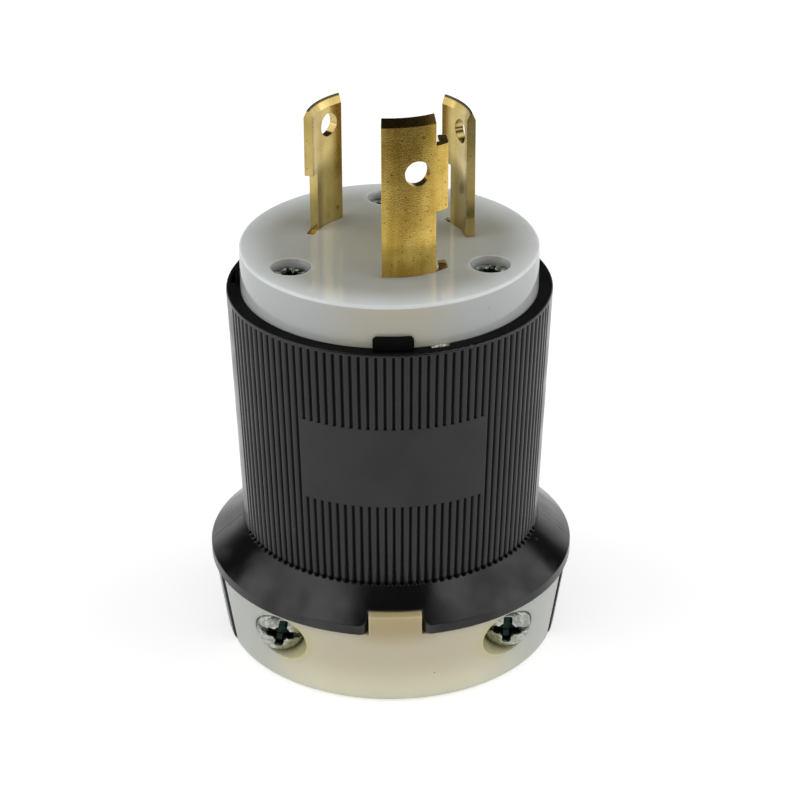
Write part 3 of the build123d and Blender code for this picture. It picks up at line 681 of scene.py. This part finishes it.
def basePlastic(finish):
    material, tree, surface = newMaterial("basePlastic", IOR=1.5)
    cloud = noise(tree, finish["cloud"], 3.0, seed=41.0)
    fine = noise(tree, finish["grain"], 2.0, seed=42.0)
    rounded, wornAndSheen = roundedEdges(tree, finish["edge"], 4)
    colour = mixedColour(tree, cloud, finish["dark"], finish["light"])
    colour = mixedColour(tree, product(tree, wornAndSheen, finish["wornAndSheenShare"]), colour, finish["wornAndSheen"])
    tree.links.new(colour, surface.inputs["Base Color"])
    tree.links.new(widened(tree, fine, *finish["roughness"]), surface.inputs["Roughness"])
    bumped(tree, surface, fine, finish["grainDepth"], rounded)
    return material


materialNodes = (
    (shellNylon(shellFinish), ("shell",)),
    (faceNylon(faceFinish), ("blade_holder",)),
    (jawNylon(jawFinish), ("cord_clamp",)),
    (basePlastic(baseFinish), ("terminal_base",)),
    (brass(groundBrass), ("ground_blade",)),
    (brass(lineBrass), ("left_line_blade", "right_line_blade")),
    (plainMetal(plateSteel), ("ground_wire_plate", "left_wire_plate", "right_wire_plate")),
    (plainMetal(greenScrew), ("ground_terminal_screw",)),
    (plainMetal(silverScrew), ("left_terminal_screw",)),
    (plainMetal(brassScrew), ("right_terminal_screw",)),
    (plainMetal(nutSteel), ("clamp_nut_left", "clamp_nut_right")),
)
for material, nodeNames in materialNodes:
    for nodeName in nodeNames:
        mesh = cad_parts[nodeName].data
        mesh.materials.clear()
        mesh.materials.append(material)
print("stage 3: finishes on", sum(len(nodeNames) for material, nodeNames in materialNodes), "nodes")


# Screws with a cross recess and a rolled thread
screwForm = {
    "flatRings": 60,
    "rimRings": 14,
    "firstRing": 0.02,  # shares of the head's radius, down to the rim
    "flat": 0.80,
    "rim": 0.20,
    "endLean": 2.5,  # how many times further an arm's end leans in than its sides
    "endFall": 0.45,  # how much shallower an arm is at its end, and the power of the way there
    "endCurve": 1.5,
    "wellFloor": 0.45,  # of the well's radius
    "neck": 0.3,  # the underside's last ring, in shank radii
    "shankStart": 0.2,  # how far up in the head, as a share of its height
    "rowsPerTurn": 8,
    "sharpness": 1.3,
    "fadeTurns": 2.0,
    "tipLength": 1.2,  # in shank radii
    "tipTaper": 0.45,
}


def smoothStep(value, low, high):
    share = np.clip((value - low) / (high - low), 0.0, 1.0)
    return share * share * (3.0 - 2.0 * share)


def gridFaces(rows, columns):
    # quads between neighbouring rings, wrapped round the axis
    row, column = np.meshgrid(np.arange(rows - 1), np.arange(columns), indexing="ij")
    here = row * columns + column
    beside = row * columns + (column + 1) % columns
    return np.stack([here, beside, beside + columns, here + columns], axis=-1).reshape(-1, 4)


def screwHead(size):
    # A pan head as rings about its axis. Outside the recess the height falls from the crown to the edge
    # by a quarter ellipse. The recess is the deepest of a slot and two crossed arms, each a trough whose
    # walls lean in with depth, and a round well at the middle, so the surface is the crown less that depth.
    radius, columns = size["headRadius"], size["columns"]
    rimward = np.sin(np.linspace(0.05, 1.0, size["rimRings"]) * math.pi / 2)
    radii = np.concatenate([
        np.linspace(size["firstRing"] * radius, size["flat"] * radius, size["flatRings"]),
        radius * (size["flat"] + size["rim"] * rimward),
    ])
    angles = np.linspace(0.0, 2.0 * math.pi, columns, endpoint=False)
    ring, around = np.meshgrid(radii, angles, indexing="ij")
    edge = np.clip((ring / radius - size["flat"]) / size["rim"], 0.0, 1.0)
    crown = size["crown"] * (1.0 - (ring / radius) ** 2)
    top = size["headHeight"] - size["crown"] + crown - size["edgeDrop"] * (1.0 - np.sqrt(1.0 - edge ** 2))
    turned = around - math.radians(size["recessTurn"])
    along, across = ring * np.cos(turned), ring * np.sin(turned)
    depth = np.zeros_like(ring)
    lean = size["wallLean"]
    for first, second, span, width, deep in (
        (along, across, size["slotSpan"], size["slotWidth"], size["slotDepth"]),
        (along, across, size["crossSpan"], size["crossWidth"], size["crossDepth"]),
        (across, along, size["crossSpan"], size["crossWidth"], size["crossDepth"]),
    ):
        inside = 1.0 - smoothStep(np.abs(second), width / 2 - lean, width / 2)
        inside = inside * (1.0 - smoothStep(np.abs(first), span / 2 - size["endLean"] * lean, span / 2))
        outwards = np.clip(2.0 * np.abs(first) / span, 0.0, 1.0)
        fall = 1.0 - size["endFall"] * outwards ** size["endCurve"]
        depth = np.maximum(depth, deep * inside * fall)
    well = 1.0 - smoothStep(ring, size["wellFloor"] * size["wellRadius"], size["wellRadius"])
    depth = np.maximum(depth, size["crossDepth"] * well)
    # the flat underside: a ring at the head's edge and one inside the shank
    under = np.outer([radius, size["neck"] * size["shankRadius"]], np.ones(columns))
    rings = np.concatenate([ring, under])
    heights = np.concatenate([top - depth, np.zeros_like(under)])
    # how deep each point lies in the recess, which the zinc's painted recess shade follows
    recessShadeDepth = np.concatenate([depth / size["crossDepth"], np.zeros_like(under)]).reshape(-1)
    around = np.broadcast_to(angles, rings.shape)
    points = np.stack([rings * np.cos(around), rings * np.sin(around), heights], axis=-1).reshape(-1, 3)
    return points, gridFaces(len(rings), columns), recessShadeDepth, columns


def screwShank(size):
    # A thread: the radius falls from the crest by a rounded saw of the phase z / pitch + angle / turn, and
    # the thread fades out under the head and at the tip
    columns = size["threadColumns"]
    rows = int(size["length"] / size["pitch"] * size["rowsPerTurn"])
    angles = np.linspace(0.0, 2.0 * math.pi, columns, endpoint=False)
    down, around = np.meshgrid(np.linspace(0.0, 1.0, rows), angles, indexing="ij")
    start = size["shankStart"] * size["headHeight"]
    height = start - down * (size["length"] + start)
    phase = height / size["pitch"] + around / (2.0 * math.pi)
    valley = 0.5 + 0.5 * np.cos(2.0 * math.pi * phase)
    fade = smoothStep(-height, 0.0, size["fadeTurns"] * size["pitch"])
    tip = smoothStep(-height, size["length"] - size["tipLength"] * size["shankRadius"], size["length"])
    radius = (size["shankRadius"] - size["threadDepth"] * valley ** size["sharpness"] * fade
              - size["tipTaper"] * size["shankRadius"] * tip ** 2)
    points = np.stack([radius * np.cos(around), radius * np.sin(around), height], axis=-1).reshape(-1, 3)
    return points, gridFaces(rows, columns), np.zeros(rows * columns), columns


def closedMesh(name, parts):
    # joins closed surfaces into one mesh, each with a point at its first and last ring's middle
    points, faces, recessShadeDepths, offset = [], [], [], 0
    for surface, quads, recessShadeDepth, columns in parts:
        middleFirst = surface[:columns].mean(axis=0)
        middleLast = surface[-columns:].mean(axis=0)
        count = len(surface)
        turn = np.arange(columns)
        beside = (turn + 1) % columns
        last = count - columns
        capFirst = np.stack([np.full(columns, count), beside, turn, turn], axis=-1)
        capLast = np.stack([np.full(columns, count + 1), last + turn, last + beside, last + beside], axis=-1)
        points.append(np.vstack([surface, middleFirst, middleLast]))
        faces.append(np.vstack([quads, capFirst, capLast]) + offset)
        recessShadeDepths.append(np.concatenate([recessShadeDepth, [recessShadeDepth[0], 0.0]]))
        offset += count + 2
    listed = [tuple(dict.fromkeys(face)) for face in np.vstack(faces).tolist()]
    mesh = bpy.data.meshes.new(name)
    mesh.from_pydata(np.vstack(points), [], listed)
    attribute = mesh.attributes.new("recessDepth", "FLOAT", "POINT")
    attribute.data.foreach_set("value", np.concatenate(recessShadeDepths).astype(np.float32))
    mesh.validate()
    return mesh


def newPiece(name, mesh, material):
    # smooth, with its faces turned outwards
    repair = bmesh.new()
    repair.from_mesh(mesh)
    bmesh.ops.recalc_face_normals(repair, faces=repair.faces)
    repair.to_mesh(mesh)
    repair.free()
    mesh.shade_smooth()
    mesh.materials.append(material)
    piece = bpy.data.objects.new(name, mesh)
    bpy.context.scene.collection.objects.link(piece)
    return piece


def placeScrew(nodeName, pieceName, size, outwards, paintedSideLightShare, body, material):
    # the head's outer end and the axis come from the node's own box
    low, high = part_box(nodeName)
    middle = (low + high) / 2
    outwards, paintedSideLightShare = Vector(outwards), Vector(paintedSideLightShare)
    near, far = sorted((low.dot(outwards), high.dot(outwards)))
    size = dict(size, length=far - near - size["seatDepth"])
    seat = middle - outwards * middle.dot(outwards) + outwards * (far - size["seatDepth"])
    mesh = closedMesh(pieceName, (screwHead(size), screwShank(size)))
    axes = Matrix((paintedSideLightShare, outwards.cross(paintedSideLightShare), outwards)).transposed().to_4x4()
    mesh.transform(Matrix.Translation(seat) @ axes)
    piece = newPiece(pieceName, mesh, material)
    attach(piece, body)
    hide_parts(nodeName)


clampScrew = dict(
    screwForm,
    headRadius=3.85 * mm, headHeight=4.2 * mm, seatDepth=2.4 * mm, crown=1.3 * mm, edgeDrop=1.2 * mm,
    shankRadius=2.05 * mm, pitch=25.4 / 32 * mm, threadDepth=0.42 * mm,
    slotSpan=8.4 * mm, slotWidth=1.05 * mm, slotDepth=1.0 * mm,
    crossSpan=4.9 * mm, crossWidth=1.45 * mm, crossDepth=1.9 * mm,
    wellRadius=1.5 * mm, wallLean=0.26 * mm, columns=220, threadColumns=36,
)
clampZincMaterial = zincPlate(clampZinc)
for side, body, recessTurn in (("left", "left_screw", -13.0), ("right", "right_screw", -4.0)):
    placeScrew(f"clamp_screw_{side}", f"clampScrew_{side}", dict(clampScrew, recessTurn=recessTurn),
               (0, -1, 0), (1, 0, 0), body, clampZincMaterial)

faceScrew = dict(
    screwForm,
    headRadius=2.95 * mm, headHeight=2.1 * mm, seatDepth=2.1 * mm, crown=0.25 * mm, edgeDrop=0.6 * mm,
    shankRadius=1.75 * mm, pitch=1.27 * mm, threadDepth=0.45 * mm,
    slotSpan=6.4 * mm, slotWidth=0.85 * mm, slotDepth=0.7 * mm,
    crossSpan=3.9 * mm, crossWidth=1.15 * mm, crossDepth=1.4 * mm,
    wellRadius=1.15 * mm, wallLean=0.18 * mm, columns=180, threadColumns=32,
)
faceZincMaterial = zincPlate(faceZinc)
for side, recessTurn in (("left", 28.0), ("right", -17.0), ("back", 8.0)):
    placeScrew(f"assembly_screw_{side}", f"faceScrew_{side}", dict(faceScrew, recessTurn=recessTurn),
               (0, 0, 1), (1, 0, 0), "housing", faceZincMaterial)
print("stage 4: screws made")


# The torn stub of nylon that stands in the rim's nick at the face's gate
gateStub = {
    "angle": -73.0,
    "radius": 24.05 * mm,
    "height": 60.75 * mm,
    "halfLength": 1.45 * mm,
    "halfWidth": 0.40 * mm,
    "halfHeight": 0.50 * mm,
    "torn": 0.30,
    "rows": 26,
    "columns": 40,
    "poleGap": 0.04,
    "deep": (0.30, 0.25, 0.17),
    "pale": (0.72, 0.72, 0.66),
    "cloud": 0.5 * mm,
    "cloudDepth": 0.06 * mm,
    "roughness": (0.10, 0.25),
    "haze": 0.6,
    "hazeDepth": (0.8 * mm, 0.7 * mm, 0.5 * mm),
}


def stubNylon(finish):
    material, tree, surface = milkyNylon("stubNylon", finish)
    cloud = noise(tree, finish["cloud"], 3.0, seed=51.0)
    colour = mixedColour(tree, widened(tree, cloud, 0.0, 1.0, middle=(0.4, 0.6)), finish["deep"],
                         finish["pale"])
    tree.links.new(colour, surface.inputs["Base Color"])
    tree.links.new(widened(tree, cloud, *finish["roughness"]), surface.inputs["Roughness"])
    bumped(tree, surface, cloud, finish["cloudDepth"])
    return material


def makeGateStub(size):
    # An ellipsoid whose radius swells and shrinks by a few sine waves of the two angles, with its long axis
    # along the rim
    columns = size["columns"]
    polar, around = np.meshgrid(np.linspace(size["poleGap"], math.pi - size["poleGap"], size["rows"]),
                                np.linspace(0.0, 2.0 * math.pi, columns, endpoint=False), indexing="ij")
    waves = 0.5 * np.sin(5.0 * polar + 2.0 * np.sin(around)) * np.sin(3.0 * around + 0.7)
    swell = 1.0 + size["torn"] * (waves + 0.3 * np.sin(9.0 * polar) * np.sin(around))
    along = size["halfLength"] * np.cos(polar)
    outwards = size["halfWidth"] * swell * np.sin(polar) * np.cos(around)
    upwards = size["halfHeight"] * swell * np.sin(polar) * np.sin(around)
    angle = math.radians(size["angle"]) + along / size["radius"]
    radius = size["radius"] + outwards
    points = np.stack([radius * np.cos(angle), radius * np.sin(angle), size["height"] + upwards], axis=-1)
    surface = (points.reshape(-1, 3), gridFaces(size["rows"], columns), np.zeros(polar.size), columns)
    piece = newPiece("gateStub", closedMesh("gateStub", (surface,)), stubNylon(size))
    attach(piece, "housing")


makeGateStub(gateStub)
print("stage 5: gate stub made")


# Studio: a pale floor whose front edge ends in the dark, a world that is white at the horizon and dark
# overhead, and a soft box each side
studio = {
    "floorSize": 3.0,
    "floorColour": (0.80, 0.80, 0.80),
    "floorGlow": 0.55,
    "floorMirrored": 0.30,
    "floorFrontEdge": (0.162, 0.230),
    "floorSlant": 0.35,
    "floorBeyond": 0.13,
    "horizonTop": (0.09, 0.25),
    "overhead": 0.03,
    "ambientHeights": (0.05, 0.55),
    "ambient": (1.0, 0.30),
    "boxSize": 0.52,
    "boxDistance": 0.48,
    "boxElevation": 38.0,
    "boxAzimuths": (-82.0, 88.0),
    "boxAim": 45 * mm,
    "boxRadiance": 1.1,
}


def rayKinds(tree):
    # whether the camera looks straight at a point, and whether it does by way of gloss or glass
    rays = tree.nodes.new("ShaderNodeLightPath").outputs
    return rays["Is Camera Ray"], maths(tree, "MAXIMUM", rays["Is Glossy Ray"], rays["Is Transmission Ray"])


def makeFloor(settings):
    reach = settings["floorSize"] / 2
    mesh = bpy.data.meshes.new("floor")
    mesh.from_pydata([(-reach, -reach, 0), (reach, -reach, 0), (reach, reach, 0), (-reach, reach, 0)], [],
                     [(0, 1, 2, 3)])
    floor = bpy.data.objects.new("floor", mesh)
    bpy.context.scene.collection.objects.link(floor)
    material = bpy.data.materials.new("paleFloor")
    material.use_nodes = True
    tree = material.node_tree
    tree.nodes.clear()
    diffuse = tree.nodes.new("ShaderNodeBsdfDiffuse")
    glow = tree.nodes.new("ShaderNodeEmission")
    seen, mirrored = rayKinds(tree)
    # in reflections the floor darkens beyond a slanted line in front of the plug
    place = axesOf(tree)
    forwards = maths(tree, "SUBTRACT", product(tree, place[0], settings["floorSlant"]), place[1])
    fall = ramped(tree, forwards, *settings["floorFrontEdge"], 1.0, settings["floorBeyond"])
    dimmed = mixedColour(tree, fall, (0.0, 0.0, 0.0), settings["floorColour"])
    colour = mixedColour(tree, mirrored, settings["floorColour"], dimmed)
    tree.links.new(colour, diffuse.inputs["Color"])
    strength = maths(tree, "MAXIMUM", product(tree, seen, settings["floorGlow"]),
                     product(tree, mirrored, fall, settings["floorMirrored"]))
    tree.links.new(strength, glow.inputs["Strength"])
    total = tree.nodes.new("ShaderNodeAddShader")
    tree.links.new(diffuse.outputs[0], total.inputs[0])
    tree.links.new(glow.outputs[0], total.inputs[1])
    output = tree.nodes.new("ShaderNodeOutputMaterial")
    tree.links.new(total.outputs[0], output.inputs["Surface"])
    mesh.materials.append(material)


def makeWorld(settings):
    world = bpy.data.worlds.new("studio")
    bpy.context.scene.world = world
    world.use_nodes = True
    tree = world.node_tree
    background = tree.nodes["Background"]
    direction = tree.nodes.new("ShaderNodeSeparateXYZ")
    tree.links.new(tree.nodes.new("ShaderNodeTexCoord").outputs["Generated"], direction.inputs[0])
    upwards = direction.outputs[2]
    seen, mirrored = rayKinds(tree)
    sky = ramped(tree, upwards, *settings["horizonTop"], 1.0, settings["overhead"])
    ambient = ramped(tree, upwards, *settings["ambientHeights"], *settings["ambient"])
    unseen = product(tree, maths(tree, "SUBTRACT", 1.0, mirrored), ambient)
    strength = maths(tree, "ADD", unseen, product(tree, mirrored, sky))
    tree.links.new(maths(tree, "MAXIMUM", strength, seen), background.inputs["Strength"])
    background.inputs["Color"].default_value = (1.0, 1.0, 1.0, 1.0)


def makeSoftBoxes(settings):
    elevation = math.radians(settings["boxElevation"])
    for number, azimuth in enumerate(settings["boxAzimuths"]):
        turn = math.radians(azimuth)
        away = Vector((math.sin(turn) * math.cos(elevation), -math.cos(turn) * math.cos(elevation),
                       math.sin(elevation)))
        data = bpy.data.lights.new(f"softBox{number}", "AREA")
        data.shape = "SQUARE"
        data.size = settings["boxSize"]
        data.energy = settings["boxRadiance"] * math.pi * settings["boxSize"] ** 2
        lamp = bpy.data.objects.new(f"softBox{number}", data)
        bpy.context.scene.collection.objects.link(lamp)
        lamp.location = Vector((0, 0, settings["boxAim"])) + away * settings["boxDistance"]
        lamp.rotation_mode = "QUATERNION"
        lamp.rotation_quaternion = away.to_track_quat("Z", "Y")


makeFloor(studio)
makeWorld(studio)
makeSoftBoxes(studio)
bpy.context.scene.view_settings.view_transform = "Standard"
print("stage 6: studio lit")
